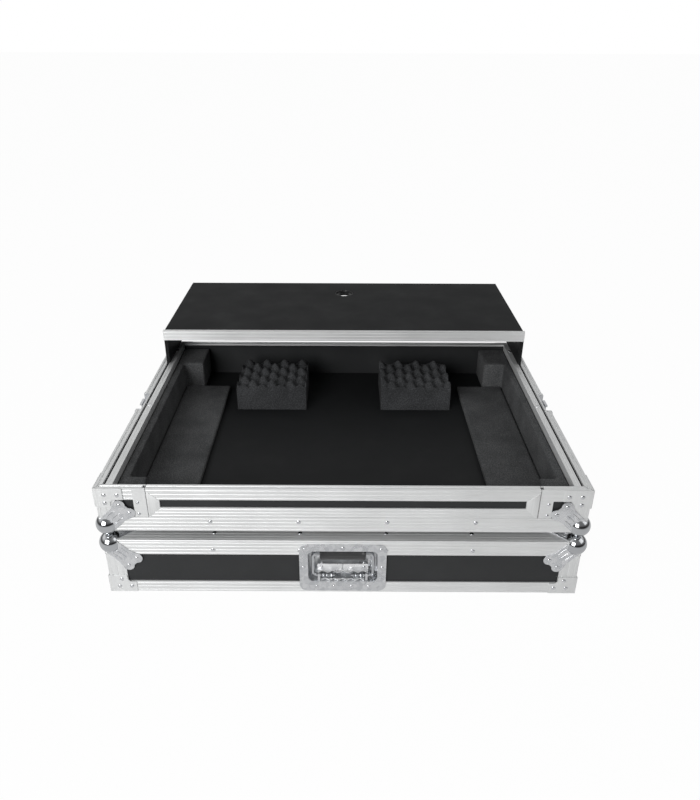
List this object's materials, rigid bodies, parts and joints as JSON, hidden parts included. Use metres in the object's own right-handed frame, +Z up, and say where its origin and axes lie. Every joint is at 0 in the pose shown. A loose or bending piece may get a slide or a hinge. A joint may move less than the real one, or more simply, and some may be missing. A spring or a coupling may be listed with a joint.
{
  "type": "controller flight case",
  "caption": "Flat flight case standing on its own lid, with a foam-lined tray, a sliding laptop shelf, a lift-out front panel, a sprung handle and side latches.",
  "frame": {"origin": "on the ground, under the centre of the whole outline with the shelf slid back", "axes": "+X across the case to the right, +Y from the handle side to the back, +Z up"},
  "size_m": [0.7778, 0.7722, 0.278],
  "materials": {
    "black_laminate": "black laminate on plywood, fine grained, semi-matte",
    "anodised_aluminium": "grooved extrusion, satin anodised",
    "chromed_steel": "pressed steel, bright plated",
    "zinc_steel": "zinc plated",
    "charcoal_foam": "open-cell foam, matte charcoal",
    "black_rubber": "moulded rubber, satin black"
  },
  "bodies": {
    "lid": {"lid_top_panel": "black_laminate", "lid_front_wall": "black_laminate", "lid_rear_wall": "black_laminate", "lid_left_wall": "black_laminate", "lid_right_wall": "black_laminate", "lid_top_edge_frame": "anodised_aluminium", "lid_rim_frame": "anodised_aluminium", "lid_corner_edge_front_left": "anodised_aluminium", "lid_corner_edge_front_right": "anodised_aluminium", "lid_corner_edge_rear_left": "anodised_aluminium", "lid_corner_edge_rear_right": "anodised_aluminium", "lid_ball_corner_front_left": "chromed_steel", "lid_ball_corner_front_right": "chromed_steel", "lid_ball_corner_rear_left": "chromed_steel", "lid_ball_corner_rear_right": "chromed_steel", "lid_foam_lining": "charcoal_foam", "lid_strike_dish_left": "chromed_steel", "lid_strike_dish_right": "chromed_steel", "handle_dish": "chromed_steel", "handle_spring": "zinc_steel"},
    "handle": {"handle_bail": "chromed_steel", "handle_grip": "black_rubber"},
    "tray": {"tray_floor": "black_laminate", "tray_front_wall": "black_laminate", "tray_rear_wall": "black_laminate", "tray_left_wall": "black_laminate", "tray_right_wall": "black_laminate", "tray_bottom_edge_frame": "anodised_aluminium", "tray_rim_frame": "anodised_aluminium", "tray_corner_edge_front_left": "anodised_aluminium", "tray_corner_edge_front_right": "anodised_aluminium", "tray_corner_edge_rear_left": "anodised_aluminium", "tray_corner_edge_rear_right": "anodised_aluminium", "tray_ball_corner_front_left": "chromed_steel", "tray_ball_corner_front_right": "chromed_steel", "tray_ball_corner_rear_left": "chromed_steel", "tray_ball_corner_rear_right": "chromed_steel", "glide_wall_left": "black_laminate", "glide_wall_right": "black_laminate", "glide_rail_left": "anodised_aluminium", "glide_rail_right": "anodised_aluminium", "side_foam_left": "charcoal_foam", "side_foam_right": "charcoal_foam", "side_pad_left": "charcoal_foam", "side_pad_right": "charcoal_foam", "egg_crate_left": "charcoal_foam", "egg_crate_right": "charcoal_foam", "latch_dish_left": "chromed_steel", "latch_dish_right": "chromed_steel"},
    "shelf": {"shelf_board": "black_laminate", "shelf_front_profile": "anodised_aluminium", "shelf_cheek_left": "black_laminate", "shelf_cheek_right": "black_laminate"},
    "front_panel": {"front_panel_board": "black_laminate", "front_panel_frame": "anodised_aluminium"},
    "wing_left": {"latch_wing_left": "chromed_steel"},
    "hook_left": {"latch_hook_left": "zinc_steel"},
    "wing_right": {"latch_wing_right": "chromed_steel"},
    "hook_right": {"latch_hook_right": "zinc_steel"}
  },
  "joints": [
    {"name": "tray_lift", "type": "slide", "parent": "lid", "child": "tray", "axis": [0, 0, 1], "range_m": [0, 0.15]},
    {"name": "handle_fold", "type": "hinge", "parent": "lid", "child": "handle", "pos_m": [0, -0.371, 0.0315], "axis": [1, 0, 0], "range_deg": [0, 90], "stiffness_Nm_per_rad": 0.15, "springref_deg": -20.05},
    {"name": "shelf_glide", "type": "slide", "parent": "tray", "child": "shelf", "axis": [0, -1, 0], "range_m": [0, 0.44]},
    {"name": "front_panel_lift", "type": "slide", "parent": "tray", "child": "front_panel", "axis": [0, 0, 1], "range_m": [0, 0.06]},
    {"name": "latch_turn_left", "type": "hinge", "parent": "tray", "child": "wing_left", "pos_m": [-0.376, -0.091, 0.176], "axis": [-1, 0, 0], "range_deg": [0, 180]},
    {"name": "hook_slide_left", "type": "slide", "parent": "tray", "child": "hook_left", "axis": [0, 0, 1], "range_m": [0, 0.01401]},
    {"name": "latch_turn_right", "type": "hinge", "parent": "tray", "child": "wing_right", "pos_m": [0.376, -0.091, 0.176], "axis": [1, 0, 0], "range_deg": [0, 180]},
    {"name": "hook_slide_right", "type": "slide", "parent": "tray", "child": "hook_right", "axis": [0, 0, 1], "range_m": [0, 0.01401]}
  ],
  "couplings": [
    {"joint": "hook_slide_left", "follows": "latch_turn_left", "m_per_rad": 0.0044563},
    {"joint": "hook_slide_right", "follows": "latch_turn_right", "m_per_rad": 0.0044563}
  ]
}
